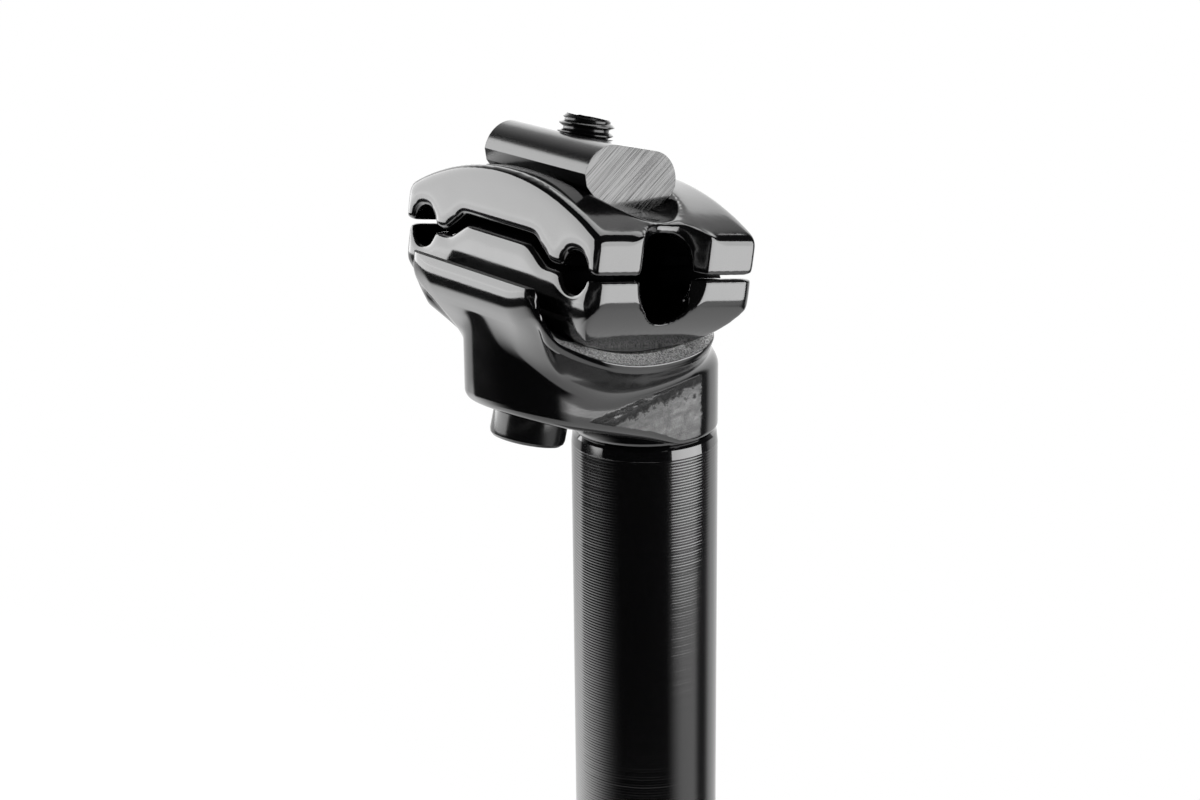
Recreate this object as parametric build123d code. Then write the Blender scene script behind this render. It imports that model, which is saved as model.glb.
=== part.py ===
from build123d import *
from math import cos, radians, sin, sqrt, tan
import os

os.makedirs("parts", exist_ok=True)

# Bicycle seatpost. The origin is the middle of the tube's lower end, +Z runs up the tube
# and +Y points to the front of the bicycle. All sizes are in millimetres.

# Post tube
tube_diameter = 27.2
tube_bore = 22.6
tube_length = 313.4
tube_top_chamfer = 0.7
tube_foot_chamfer = 0.5

# Saddle rails that the clamp holds, above the tube's upper end and behind its axis
rail_diameter = 7.0
rail_spacing = 44.0
rail_rise = 36.6
rail_setback = 16.1
clamp_tilt = 9.1

# Tilt pivot above the rails, and the bolt that leans forward through it
pivot_rise = 22.8
bolt_lean = 14.7
slot_half_angle = 11.0

# Fits and gaps
spigot_fit = 0.03
seat_fit = 0.05
thread_fit = 0.05
split_gap = 0.4
bolt_gap = 0.5
lip_clearance = 4.4

# Head: neck, spigot and bolt boss
neck_length = 12.0
neck_chamfer = 0.5
spigot_length = 34.0
boss_radius = 12.5
boss_lead = 1.0
boss_foot_slope = 17.7
boss_foot_fillet = 1.5
column_root = 20.0
spot_face_radius = 7.4
spot_face_depth = 0.6

# Head: cradle with its round trough, its rear lip and its front shoulder
trough_radius = 37.5
cradle_half_width = 23.0
cradle_waist_y = -23.0
cradle_reach = 14.5
cradle_rear_corner = 4.0
cradle_front_corner = 8.0
rim_thickness = 3.0
rim_spare = 3.0
rim_start = -60
rim_sweep = 100
cove_half_width = 13.0
cove_depth = 11.0
cove_hollow = 0.8
lip_half_width = 20.0
lip_height = 3.5
lip_width = 1.7
lip_lean = 2.2
flare_inset = 2.0
lip_foot_drop = 2.7
flare_drop = 6.0
flare_slope = 1.0
rear_slope = 0.24
shoulder_rise = 0.2
shoulder_reach = 12.0
shoulder_bow_reach = 7.0
shoulder_bow_drop = 6.6
shoulder_foot_rise = 8.6

# Clamp halves, in the clamp's own frame
rail_wall = 2.3
clamp_rear = 17.4
clamp_front = 18.3
lower_front = 19.2
lower_corner = 3.0
crown_height = 14.0
crown_radius = 58.0
crown_corner = 2.5
seat_wall = 0.5
hump_foot = 5.0
hump_radius = 17.0
tooth_width = 3.2
recess_height = 4.0
recess_slope_width = 5.1
block_height = 2.8
block_gap = 1.5
block_slope_width = 4.8
land_depth = 4.6
flank_depth = 13.5
flank_inset = 7.5
flank_bulge = 0.6
toe_height = -4.0
toe_half_length = 11.0
toe_bow_angle = 26.6
toe_bow_inset = 1.7
scoop_radius = 8.6
scoop_depth = 4.0
scoop_centre = -0.8
window_half_width = 5.2
window_depth = 15.0
window_top = 6.6
window_floor = -8.2
window_corner = 3.5
edge_round = 1.0

# Nut bar, in the bolt's frame
nut_length = 29.0
nut_half_width = 10.15
nut_seat_radius = 14.0
nut_shoulder_radius = 5.7
nut_heel_inset = 0.85
nut_flank_height = 1.97
nut_flank_bow = 0.2

# Clamp bolt, in the bolt's frame
bolt_diameter = 10.0
bolt_end = 0.5
bolt_end_chamfer = 1.0
bolt_grip = 52.7
bolt_head_diameter = 13.6
bolt_head_height = 5.2
bolt_head_round = 1.3
bolt_key_width = 6.0
bolt_key_depth = 4.0

# The clamp's frame has x across, y along the rails to the front, z up, and its origin
# midway between the rails. The bolt's frame has its origin on the pivot and z up the bolt.
tilt = radians(clamp_tilt)
lean = radians(bolt_lean)
rail_height = tube_length + rail_rise
pivot = Vector(0, -rail_setback + pivot_rise * sin(tilt), rail_height + pivot_rise * cos(tilt))
clamp_frame = Plane((0, -rail_setback, rail_height), x_dir=(1, 0, 0), z_dir=(0, sin(tilt), cos(tilt)))
bolt_frame = Plane(pivot, x_dir=(1, 0, 0), z_dir=(0, sin(lean), cos(lean)))
pivot_axis = Axis(pivot, (1, 0, 0))
neck_radius = tube_diameter / 2
clamp_half_width = (rail_spacing + rail_diameter) / 2 + rail_wall


def across(plane, lines, half):
    """Solid of a closed outline on a plane, reaching equally far to both sides of it."""
    return extrude(plane * make_face(lines), amount=half, both=True)


def clamp_prism(lines, front):
    """Solid of an outline across the clamp, from the clamp's rear end to a front end."""
    length = front + clamp_rear
    return Pos(0, (front - clamp_rear) / 2, 0) * across(Plane.XZ, lines, length / 2)


def trough_floor(y):
    """Height of the head's trough at a place along the bicycle."""
    return pivot.Z - sqrt(trough_radius**2 - (y - pivot.Y) ** 2)


def fan(low, high):
    """Slot that clears the leaning bolt over the whole tilt, between two heights of the clamp."""
    swing = tan(radians(slot_half_angle))
    reach = (bolt_diameter / 2 + bolt_gap) / cos(radians(slot_half_angle))
    near = (pivot_rise - high) * swing + reach
    far = (pivot_rise - low) * swing + reach
    sides = Polyline((-near, high), (near, high), (far, low), (-far, low), close=True)
    return across(Plane.YZ, sides, bolt_diameter / 2 + bolt_gap)


# Post tube: drawn tube, turned outside, chamfered at both ends
tube = Cylinder(tube_diameter / 2, tube_length, align=(Align.CENTER, Align.CENTER, Align.MIN))
tube = chamfer(tube.edges().sort_by(Axis.Z)[-1], tube_top_chamfer)
tube = chamfer(tube.edges().sort_by(Axis.Z)[0], tube_foot_chamfer)
tube -= Cylinder(tube_bore / 2, tube_length, align=(Align.CENTER, Align.CENTER, Align.MIN))

# Head, forged: a column around the neck and the bolt boss, cut slanting underneath
foot_point = bolt_frame.from_local_coords((0, 0, -bolt_grip - spot_face_depth))
foot_slope = radians(boss_foot_slope)
foot_plane = Plane(foot_point, x_dir=(1, 0, 0), z_dir=(0, sin(foot_slope), cos(foot_slope)))
neck_plan = Edge.make_circle(neck_radius)
boss_plan = Pos(0, foot_point.Y + boss_lead) * Edge.make_circle(boss_radius)
column_plan = Pos(0, 0, tube_length - column_root) * make_hull([neck_plan, boss_plan])
column = extrude(column_plan, amount=rail_rise + column_root)
column -= foot_plane * Box(100, 120, 60, align=(Align.CENTER, Align.CENTER, Align.MAX))
column = fillet(column.faces().sort_by(Axis.Z)[0].edges(), boss_foot_fillet)
column -= Pos(0, 0, tube_length) * Box(100, 120, 60, align=(Align.CENTER, Align.CENTER, Align.MAX))
neck = Cylinder(neck_radius, neck_length, align=(Align.CENTER, Align.CENTER, Align.MIN))
neck = chamfer(neck.edges().sort_by(Axis.Z)[0], neck_chamfer)
column += Pos(0, 0, tube_length) * neck

# Head: the cradle's rim and the cove under it follow the trough around the pivot
cradle_front = pivot.Y + cradle_reach
cradle_rear = -rail_setback - clamp_rear * cos(tilt) - lip_clearance - lip_width
plan_corners = [
    (lip_half_width, cradle_rear),
    (cradle_half_width, cradle_waist_y),
    (cradle_half_width, cradle_front),
]
plan = make_face(Polyline(*plan_corners, *[(-x, y) for x, y in reversed(plan_corners)], close=True))
plan = fillet(plan.vertices().group_by(Axis.Y)[0], cradle_rear_corner)
plan = fillet(plan.vertices().group_by(Axis.Y)[-1], cradle_front_corner)
footprint = extrude(Pos(0, 0, tube_length) * plan, amount=pivot.Z - tube_length)
rim_inner = trough_radius - rim_spare
rim_foot = trough_radius + rim_thickness
cove_foot = trough_radius + cove_depth
cove_bow_x = (cradle_half_width + cove_half_width) / 2 - cove_hollow
cove_bow_z = -(rim_foot + cove_foot) / 2 + cove_hollow
rim_lines = Polyline((-cove_half_width, -cove_foot), (cove_half_width, -cove_foot))
rim_lines += ThreePointArc(
    (cove_half_width, -cove_foot),
    (cove_bow_x, cove_bow_z),
    (cradle_half_width, -rim_foot),
)
rim_lines += Polyline(
    (cradle_half_width, -rim_foot),
    (cradle_half_width, -rim_inner),
    (-cradle_half_width, -rim_inner),
    (-cradle_half_width, -rim_foot),
)
rim_lines += ThreePointArc(
    (-cradle_half_width, -rim_foot),
    (-cove_bow_x, cove_bow_z),
    (-cove_half_width, -cove_foot),
)
rim_face = Plane(pivot, x_dir=(1, 0, 0), z_dir=(0, -1, 0)) * make_face(rim_lines)
cradle = revolve(rim_face.rotate(pivot_axis, rim_start), pivot_axis, rim_sweep)
cradle &= footprint

# Head: the flare under the lip and its corners runs in to the boss
lip_top = trough_floor(cradle_rear) + lip_height
lip_foot = lip_top - lip_foot_drop
flare_start = (lip_half_width - flare_inset, cradle_rear, lip_top - flare_drop)
flare_plane = Plane(flare_start, z_dir=(0.42, -0.91, -flare_slope))
flare_cut = flare_plane * Box(100, 100, 40, align=(Align.CENTER, Align.CENTER, Align.MIN))
rear_plane = Plane((0, cradle_rear, lip_foot), z_dir=(0, -1, -rear_slope))
rear_cut = rear_plane * Box(100, 100, 40, align=(Align.CENTER, Align.CENTER, Align.MIN))
flare_cuts = [flare_cut, mirror(flare_cut, Plane.YZ), rear_cut]
cradle -= flare_cuts
head = column + cradle

# Head: the front shoulder, the trough, and the lip that stands behind it
shoulder_top = trough_floor(cradle_front) + shoulder_rise
shoulder_bow = (cradle_front + shoulder_bow_reach, shoulder_top - shoulder_bow_drop)
shoulder_end = (cradle_front + shoulder_reach, tube_length + shoulder_foot_rise)
shoulder = ThreePointArc((cradle_front, shoulder_top), shoulder_bow, shoulder_end)
shoulder += Polyline(
    shoulder_end,
    (shoulder_end[0] + neck_radius, shoulder_end[1]),
    (shoulder_end[0] + neck_radius, pivot.Z),
    (cradle_front, pivot.Z),
    (cradle_front, shoulder_top),
)
head -= across(Plane.YZ, shoulder, 2 * cradle_half_width)
head -= Pos(pivot) * Rot(0, 90, 0) * Cylinder(trough_radius, 4 * cradle_half_width)
lip_root = cradle_rear + lip_width + lip_lean
lip_lines = Polyline(
    (cradle_rear, lip_foot),
    (cradle_rear, lip_top),
    (cradle_rear + lip_width, lip_top),
    (lip_root, trough_floor(lip_root)),
    (lip_root, trough_floor(lip_root) - rim_thickness),
    close=True,
)
lip = across(Plane.YZ, lip_lines, lip_half_width)
lip &= footprint
lip -= flare_cuts
head += lip
head -= bolt_frame * Cylinder(bolt_diameter / 2 + bolt_gap, 2 * bolt_grip + 40)
spot_face = Cylinder(spot_face_radius, 20, align=(Align.CENTER, Align.CENTER, Align.MAX))
head -= bolt_frame * Pos(0, 0, -bolt_grip) * spot_face
head += Pos(0, 0, tube_length) * Cylinder(
    tube_bore / 2 - spigot_fit,
    spigot_length,
    align=(Align.CENTER, Align.CENTER, Align.MAX),
)

# Lower clamp half, forged: round underneath, raised in the middle
groove_side = (rail_spacing - rail_diameter) / 2
recess_foot = groove_side - tooth_width
block_foot = recess_foot - block_gap
flank_half_width = clamp_half_width - flank_inset
half_section = [
    (block_foot - block_slope_width, block_height),
    (block_foot, -split_gap / 2),
    (clamp_half_width, -split_gap / 2),
    (clamp_half_width, -land_depth),
]
flank_bow_x = (clamp_half_width + flank_half_width) / 2 + flank_bulge
flank_bow_z = -(land_depth + flank_depth) / 2 - flank_bulge
lower_lines = Polyline(*[(-x, z) for x, z in reversed(half_section)], *half_section)
lower_lines += ThreePointArc(
    (clamp_half_width, -land_depth),
    (flank_bow_x, flank_bow_z),
    (flank_half_width, -flank_depth),
)
lower_lines += Polyline(
    (flank_half_width, -flank_depth),
    (flank_half_width, -trough_radius),
    (-flank_half_width, -trough_radius),
    (-flank_half_width, -flank_depth),
)
lower_lines += ThreePointArc(
    (-flank_half_width, -flank_depth),
    (-flank_bow_x, flank_bow_z),
    (-clamp_half_width, -land_depth),
)
lower = clamp_prism(lower_lines, lower_front)
lower_plan = RectangleRounded(2 * clamp_half_width, lower_front + clamp_rear, lower_corner)
lower_plan = Pos(0, (lower_front - clamp_rear) / 2) * lower_plan
lower &= extrude(lower_plan, amount=trough_radius, both=True)
belly_radius = trough_radius - seat_fit
toe_depth = pivot_rise - sqrt(belly_radius**2 - toe_half_length**2)
toe_bow_y = (belly_radius - toe_bow_inset) * sin(radians(toe_bow_angle))
toe_bow_z = pivot_rise - (belly_radius - toe_bow_inset) * cos(radians(toe_bow_angle))
belly = Polyline(
    (-clamp_rear, toe_height),
    (-clamp_rear, block_height + split_gap),
    (lower_front, block_height + split_gap),
    (lower_front, toe_height),
)
belly += ThreePointArc((lower_front, toe_height), (toe_bow_y, toe_bow_z), (toe_half_length, toe_depth))
belly += ThreePointArc(
    (toe_half_length, toe_depth),
    (0, pivot_rise - belly_radius),
    (-toe_half_length, toe_depth),
)
belly += ThreePointArc((-toe_half_length, toe_depth), (-toe_bow_y, toe_bow_z), (-clamp_rear, toe_height))
lower &= across(Plane.YZ, belly, 2 * clamp_half_width)
grooves = [
    Pos(side * rail_spacing / 2, 0, 0) * Rot(90, 0, 0) * Cylinder(rail_diameter / 2, 4 * clamp_front)
    for side in (-1, 1)
]
lower -= grooves
lower -= fan(pivot_rise - trough_radius - 2, block_height + 2)
lower_window = Polyline(
    (-window_half_width, window_floor + window_half_width),
    (-window_half_width, block_height),
    (window_half_width, block_height),
    (window_half_width, window_floor + window_half_width),
)
lower_window += ThreePointArc(
    (window_half_width, window_floor + window_half_width),
    (0, window_floor),
    (-window_half_width, window_floor + window_half_width),
)
window_plane = Plane.YZ.offset(clamp_half_width - window_depth)
lower_opening = extrude(window_plane * make_face(lower_window), amount=2 * window_depth)
lower -= [lower_opening, mirror(lower_opening, Plane.YZ)]
scoop = Cylinder(scoop_radius, trough_radius, align=(Align.CENTER, Align.CENTER, Align.MIN))
scoop += Sphere(scoop_radius)
scoop = Pos(clamp_half_width - scoop_depth + scoop_radius, 0, scoop_centre) * scoop
scoops = [scoop, mirror(scoop, Plane.YZ)]
lower -= scoops
lower_ends = lower.faces().sort_by(Axis.Y)[0].edges() + lower.faces().sort_by(Axis.Y)[-1].edges()
top_edges = [edge for edge in lower_ends if edge.bounding_box().max.X < groove_side + split_gap]
top_edges = [edge for edge in top_edges if edge.bounding_box().min.X > -groove_side - split_gap]
lower = fillet(top_edges, edge_round)

# Upper clamp half, forged: an arched bridge with a humped seat across it for the nut bar
side_height = crown_height - crown_radius + sqrt(crown_radius**2 - clamp_half_width**2)
half_section = [
    (recess_foot - recess_slope_width, recess_height),
    (recess_foot, split_gap / 2),
    (clamp_half_width, split_gap / 2),
    (clamp_half_width, side_height),
]
upper_lines = Polyline(*[(-x, z) for x, z in reversed(half_section)], *half_section)
upper_lines += ThreePointArc(
    (clamp_half_width, side_height),
    (0, crown_height),
    (-clamp_half_width, side_height),
)
upper = clamp_prism(upper_lines, clamp_front)
crown_corners = upper.edges().filter_by(Axis.Y).group_by(Axis.X)
crown_corners = [group.sort_by(Axis.Z)[-1] for group in (crown_corners[0], crown_corners[-1])]
upper = fillet(crown_corners, crown_corner)
hump_height = pivot_rise - nut_seat_radius + seat_wall
hump_half = sqrt(hump_radius**2 - (hump_radius - hump_height + hump_foot) ** 2)
hump = ThreePointArc((-hump_half, hump_foot), (0, hump_height), (hump_half, hump_foot))
hump += Line((hump_half, hump_foot), (-hump_half, hump_foot))
upper += across(Plane.YZ, hump, clamp_half_width)
upper -= Pos(0, 0, pivot_rise) * Rot(0, 90, 0) * Cylinder(nut_seat_radius + seat_fit, 3 * clamp_half_width)
upper -= grooves
upper -= fan(-split_gap, crown_height + 2)
upper_window = RectangleRounded(2 * window_half_width, 2 * window_top, window_corner)
upper_opening = extrude(window_plane * upper_window, amount=2 * window_depth)
upper -= [upper_opening, mirror(upper_opening, Plane.YZ)]
upper -= scoops
upper_ends = upper.faces().sort_by(Axis.Y)[0].edges() + upper.faces().sort_by(Axis.Y)[-1].edges()
upper = fillet(upper_ends, edge_round)

# Nut bar: an extruded section with a flat top and a round underside, sawn off square
heel_y = nut_half_width - nut_heel_inset
heel_z = -sqrt(nut_seat_radius**2 - heel_y**2)
shoulder_y = nut_half_width - nut_shoulder_radius
shoulder_z = heel_z + nut_flank_height
nut_top = shoulder_z + nut_shoulder_radius
flank_y = nut_half_width - nut_flank_bow
flank_z = (shoulder_z + heel_z) / 2
bow = nut_shoulder_radius / sqrt(2)
nut_lines = Line((-shoulder_y, nut_top), (shoulder_y, nut_top))
nut_lines += ThreePointArc(
    (shoulder_y, nut_top),
    (shoulder_y + bow, shoulder_z + bow),
    (nut_half_width, shoulder_z),
)
nut_lines += ThreePointArc((nut_half_width, shoulder_z), (flank_y, flank_z), (heel_y, heel_z))
nut_lines += ThreePointArc((heel_y, heel_z), (0, -nut_seat_radius), (-heel_y, heel_z))
nut_lines += ThreePointArc((-heel_y, heel_z), (-flank_y, flank_z), (-nut_half_width, shoulder_z))
nut_lines += ThreePointArc(
    (-nut_half_width, shoulder_z),
    (-shoulder_y - bow, shoulder_z + bow),
    (-shoulder_y, nut_top),
)
nut = across(Plane.YZ, nut_lines, nut_length / 2)
nut -= Cylinder(bolt_diameter / 2 + thread_fit, 4 * nut_seat_radius)

# Clamp bolt: threaded shank, low round head with a hexagon socket underneath
shank = Cylinder(bolt_diameter / 2, bolt_grip + bolt_end, align=(Align.CENTER, Align.CENTER, Align.MAX))
shank = chamfer(shank.edges().sort_by(Axis.Z)[-1], bolt_end_chamfer)
cap = Cylinder(bolt_head_diameter / 2, bolt_head_height, align=(Align.CENTER, Align.CENTER, Align.MAX))
cap = fillet(cap.edges().sort_by(Axis.Z)[0], bolt_head_round)
cap -= Pos(0, 0, -bolt_head_height) * extrude(
    RegularPolygon(bolt_key_width / 2, 6, major_radius=False),
    amount=bolt_key_depth,
)
bolt = Pos(0, 0, bolt_end) * shank + Pos(0, 0, -bolt_grip) * cap

nodes = {
    "post_tube": tube,
    "head": head,
    "lower_clamp": clamp_frame * lower,
    "upper_clamp": clamp_frame * upper,
    "nut_bar": bolt_frame * nut,
    "clamp_bolt": bolt_frame * bolt,
}
for name, shape in nodes.items():
    export_step(shape, f"parts/{name}.step")
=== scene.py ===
import math

import bpy
from mathutils import Matrix, Vector
from mathutils.geometry import interpolate_bezier


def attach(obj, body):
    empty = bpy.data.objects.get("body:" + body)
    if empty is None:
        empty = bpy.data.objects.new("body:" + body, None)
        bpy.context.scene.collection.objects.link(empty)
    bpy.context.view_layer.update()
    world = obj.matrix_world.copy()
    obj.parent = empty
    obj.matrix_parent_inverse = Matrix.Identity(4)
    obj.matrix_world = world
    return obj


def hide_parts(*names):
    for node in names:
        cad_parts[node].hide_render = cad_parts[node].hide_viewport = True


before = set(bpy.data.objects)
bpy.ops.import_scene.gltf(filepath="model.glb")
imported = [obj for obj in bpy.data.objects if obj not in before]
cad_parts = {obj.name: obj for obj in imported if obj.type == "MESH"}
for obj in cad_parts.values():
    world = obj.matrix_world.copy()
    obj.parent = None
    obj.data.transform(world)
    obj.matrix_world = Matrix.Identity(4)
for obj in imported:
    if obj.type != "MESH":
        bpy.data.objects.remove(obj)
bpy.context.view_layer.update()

# Post tube: drawn aluminium tube, turned to 27.2 mm on a lathe and dyed black by anodising.
# The tool leaves fine rings all the way down, and a short polished band eases into the top
# chamfer. The head's spigot is bonded in its upper end.
tube_radius = 0.0136
tube_bore = 0.0113
tube_length = 0.3134
foot_chamfer = 0.0005
top_chamfer = 0.0008
top_chamfer_height = 0.0006
band_foot = 0.3110
band_ease = 0.00020
ring_pitch = 0.00055
ring_depth = 0.000030
chatter_size = 0.0009
wave_unit = 0.31416  # the step of Blender's wave bands at scale 1
band_roughness = 0.05
ring_roughness = 0.14
oxide_index = 1.76
oxide_colour = "#0B0B0C"
tube_crease = math.radians(3)
lathe_steps = 192
weld_gap = 0.000001


def linear(code):
    """An sRGB hex colour as the linear colour that a socket takes."""
    parts = [int(code[place:place + 2], 16) / 255 for place in (1, 3, 5)]
    return [part / 12.92 if part < 0.04 else ((part + 0.055) / 1.055) ** 2.4 for part in parts] + [1]


def add(material, kind, sockets, **settings):
    """Adds one node; a socket gets the value that is given, or a link from another node's output."""
    node = material.node_tree.nodes.new(kind)
    for name, value in settings.items():
        setattr(node, name, value)
    for name, value in sockets.items():
        if isinstance(value, bpy.types.NodeSocket):
            material.node_tree.links.new(value, node.inputs[name])
        else:
            node.inputs[name].default_value = value
    return node


def turned(name, profile, steps):
    """A ring drawn out from radius to radius and height to height, as a lathe shapes a bar."""
    bpy.ops.object.select_all(action="DESELECT")
    radius, height = profile[0]
    bpy.ops.mesh.primitive_circle_add(vertices=steps, radius=radius, location=(0, 0, height))
    piece = bpy.context.object
    piece.name = name
    bpy.ops.object.transform_apply(location=True)
    bpy.ops.object.mode_set(mode="EDIT")
    bpy.ops.mesh.select_all(action="SELECT")
    for (before, low), (after, high) in zip(profile, profile[1:]):
        bpy.ops.mesh.extrude_edges_move(TRANSFORM_OT_translate={"value": (0, 0, high - low)})
        bpy.ops.transform.resize(value=(after / before, after / before, 1), center_override=(0, 0, high))
    bpy.ops.mesh.select_all(action="SELECT")
    bpy.ops.mesh.remove_doubles(threshold=weld_gap)
    bpy.ops.mesh.normals_make_consistent(inside=False)
    bpy.ops.object.mode_set(mode="OBJECT")
    return piece


tube = turned("turned_tube", [
    (tube_bore, 0.0),
    (tube_radius - foot_chamfer, 0.0),
    (tube_radius, foot_chamfer),
    (tube_radius, band_foot),
    (tube_radius - band_ease, tube_length - top_chamfer_height),
    (tube_radius - top_chamfer, tube_length),
    (tube_bore, tube_length),
    (tube_bore, 0.0),
], lathe_steps)
bpy.ops.object.shade_smooth_by_angle(angle=tube_crease)

# Turned black anodising: the dyed oxide is glass-like, so it is black where it mirrors the dark
# and bright along the panels, and the rings draw each reflection out up and down the tube.
turned_black = bpy.data.materials.new("black_anodised_turned_aluminium")
turned_black.use_nodes = True
shader = turned_black.node_tree.nodes["Principled BSDF"]
shader.inputs["Base Color"].default_value = linear(oxide_colour)
shader.inputs["IOR"].default_value = oxide_index
place = add(turned_black, "ShaderNodeTexCoord", {}).outputs["Object"]
height = add(turned_black, "ShaderNodeSeparateXYZ", {"Vector": place}).outputs["Z"]
below_band = add(
    turned_black,
    "ShaderNodeMath",
    {0: height, 1: band_foot},
    operation="LESS_THAN",
).outputs[0]
rings = add(
    turned_black,
    "ShaderNodeTexWave",
    {"Vector": place, "Scale": wave_unit / ring_pitch, "Distortion": 0.0},
    wave_type="BANDS",
    bands_direction="Z",
).outputs["Fac"]
along = add(turned_black, "ShaderNodeCombineXYZ", {"Z": height}).outputs["Vector"]
chatter = add(
    turned_black,
    "ShaderNodeTexNoise",
    {"Vector": along, "Scale": 1 / chatter_size, "Detail": 3.0},
).outputs["Fac"]
ring_height = rings
for share in (chatter, below_band):
    ring_height = add(
        turned_black,
        "ShaderNodeMath",
        {0: ring_height, 1: share},
        operation="MULTIPLY",
    ).outputs[0]
ring_bump = add(turned_black, "ShaderNodeBump", {"Distance": ring_depth, "Height": ring_height})
turned_black.node_tree.links.new(ring_bump.outputs["Normal"], shader.inputs["Normal"])
roughness = add(
    turned_black,
    "ShaderNodeMapRange",
    {"Value": below_band, "To Min": band_roughness, "To Max": ring_roughness},
).outputs[0]
turned_black.node_tree.links.new(roughness, shader.inputs["Roughness"])
tube.data.materials.append(turned_black)
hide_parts("post_tube")
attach(tube, "post")

# Head: one aluminium forging with the bolt boss, the neck that stands on the tube, and a flared
# cradle whose round trough carries the clamp. Trimmed, polished and anodised black all over. Its
# skin is drawn through sections from the foot up to the rim, as no primitive has its shape.
mm = 0.001
pivot = Vector((0.0, -0.012494, 0.372513))
bolt_up = Vector((0.0, 0.253758, 0.967268))
bolt_frame = Matrix((
    (1, 0, 0, 0),
    (0, bolt_up.z, bolt_up.y, pivot.y),
    (0, -bolt_up.y, bolt_up.z, pivot.z),
    (0, 0, 0, 1),
))
trough_radius = 37.5
crease_radius = 40.5
boss_y = -25.02
boss_radius = 12.5
neck_radius = 13.6
neck_foot = 313.4
neck_gap = 0.05
boss_foot = (-26.02, 320.96)
foot_slope = 0.3191
foot_round = 1.2
foot_rounding_rise = (-0.5, 2.5)
wall_shares = (0.3, 0.6, 0.85)
lip_top = 349.87
lip_end = (0.20, 0.31)
bead_height = 4.8
bead_radius = 8.6
flare_radius = 7.0
flare_tilt = math.radians(9)
flare_grip = 0.45
wall_grip = 0.22
lip_grip = 0.4
flare_rows = 24
rim_undercut = 0.5
corner_tuck = 1.9
corner_rise = (0.14, 0.26)
corner_fall = (0.28, 0.42)
lip_root = (-35.48, 342.88)
lip_shoulder = (-37.68, 349.87)
rim_corners = [
    (0, -39.38), (17.6, -39.38), (19.3, -38.6), (20.1, -36.9), (21.2, -31.5), (22.4, -26.0), (23.0, -20.0),
    (23.0, -6.5), (22.0, -2.5), (19.4, 0.6), (15.5, 2.0), (0, 2.0),
]
flare_foot = [
    (0.0, 337.6), (0.054, 337.3), (0.098, 335.9), (0.139, 334.2), (0.178, 332.1), (0.216, 329.6),
    (0.256, 327.2), (0.293, 325.3), (0.335, 324.2), (0.40, 323.6), (0.47, 323.8), (0.567, 324.4),
    (0.633, 325.0), (0.707, 326.0), (0.76, 326.4), (0.864, 325.5), (1.0, 322.0),
]
rim_flank = [(0.2, 0.45), (0.5, 0.32), (1.3, 0.04), (1.55, 0.08), (1.75, 0.4), (3.0, 2.7), (3.6, 3.3)]
bead_shares = (0.16, 0.33, 0.48, 0.62, 0.74, 0.84, 0.93, 1.0)
axis_radius = 0.00001
spigot_radius = 0.01127
spigot_foot = 0.2794
skirt_radius = 0.01352
skirt_foot = 0.3134
skirt_corner = [
    (0.01232, skirt_foot), (0.01278, 0.3135), (0.01317, 0.31375), (0.01342, 0.31414), (skirt_radius, 0.3146),
]
skirt_top = 0.3210
head_edge = 0.0002
head_edge_angle = math.radians(38)
head_crease = math.radians(34)
trough_cut_length = 0.08
shank_drill = (0.0055, -0.09, 0.03)
cap_drill = (0.0074, -0.0727, -0.0527)
drill_steps = 96


def ramp(value, low, high):
    """0 below low, 1 above high, and eased between them."""
    share = min(1.0, max(0.0, (value - low) / (high - low)))
    return share * share * (3 - 2 * share)


def spread(points, count):
    """Points at even steps along a line that is given by its corners."""
    points = [Vector(point) for point in points]
    lengths = [(second - first).length for first, second in zip(points, points[1:])]
    spaced = []
    for step in range(count + 1):
        goal = sum(lengths) * step / count
        side = 0
        while side < len(lengths) - 1 and goal > lengths[side]:
            goal -= lengths[side]
            side += 1
        spaced.append(points[side].lerp(points[side + 1], goal / lengths[side]))
    return spaced


def eased(points, rounds):
    """A line whose corners are eased by averaging; its two ends stay in the middle plane."""
    for _ in range(rounds):
        first = Vector((-points[1].x, points[1].y))
        last = Vector((-points[-2].x, points[-2].y))
        ring = [first, *points, last]
        points = [
            (before + 2 * here + after) / 4
            for before, here, after in zip(ring, ring[1:], ring[2:])
        ]
    return points


def inwards(points):
    """The directions across a line, to the inside of the outline."""
    ring = [Vector((-points[1].x, points[1].y)), *points, Vector((-points[-2].x, points[-2].y))]
    return [
        Vector((before.y - after.y, after.x - before.x)).normalized()
        for before, after in zip(ring, ring[2:])
    ]


columns = 110
arc_steps = 60
rim_easing = 10
foot_easing = 30
tangent = math.asin((neck_radius - boss_radius) / -boss_y)
wall_plan = [
    (boss_radius * math.sin(turn), boss_y - boss_radius * math.cos(turn))
    for turn in [(math.pi / 2 - tangent) * step / arc_steps for step in range(arc_steps + 1)]
]
wall_plan += [
    (neck_radius * math.sin(turn), -neck_radius * math.cos(turn))
    for turn in [
        math.pi / 2 - tangent + (math.pi / 2 + tangent) * step / arc_steps
        for step in range(arc_steps + 1)
    ]
]
wall_plan = spread(wall_plan, columns)
rim_plan = eased(spread(rim_corners, columns), rim_easing)
starts = []
for step in range(columns + 1):
    share = step / columns
    for (low, before), (high, after) in zip(flare_foot, flare_foot[1:]):
        if low <= share <= high:
            starts.append(Vector((0, before + (after - before) * (share - low) / (high - low))))
            break
starts = [start.y for start in eased(starts, foot_easing)]

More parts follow.
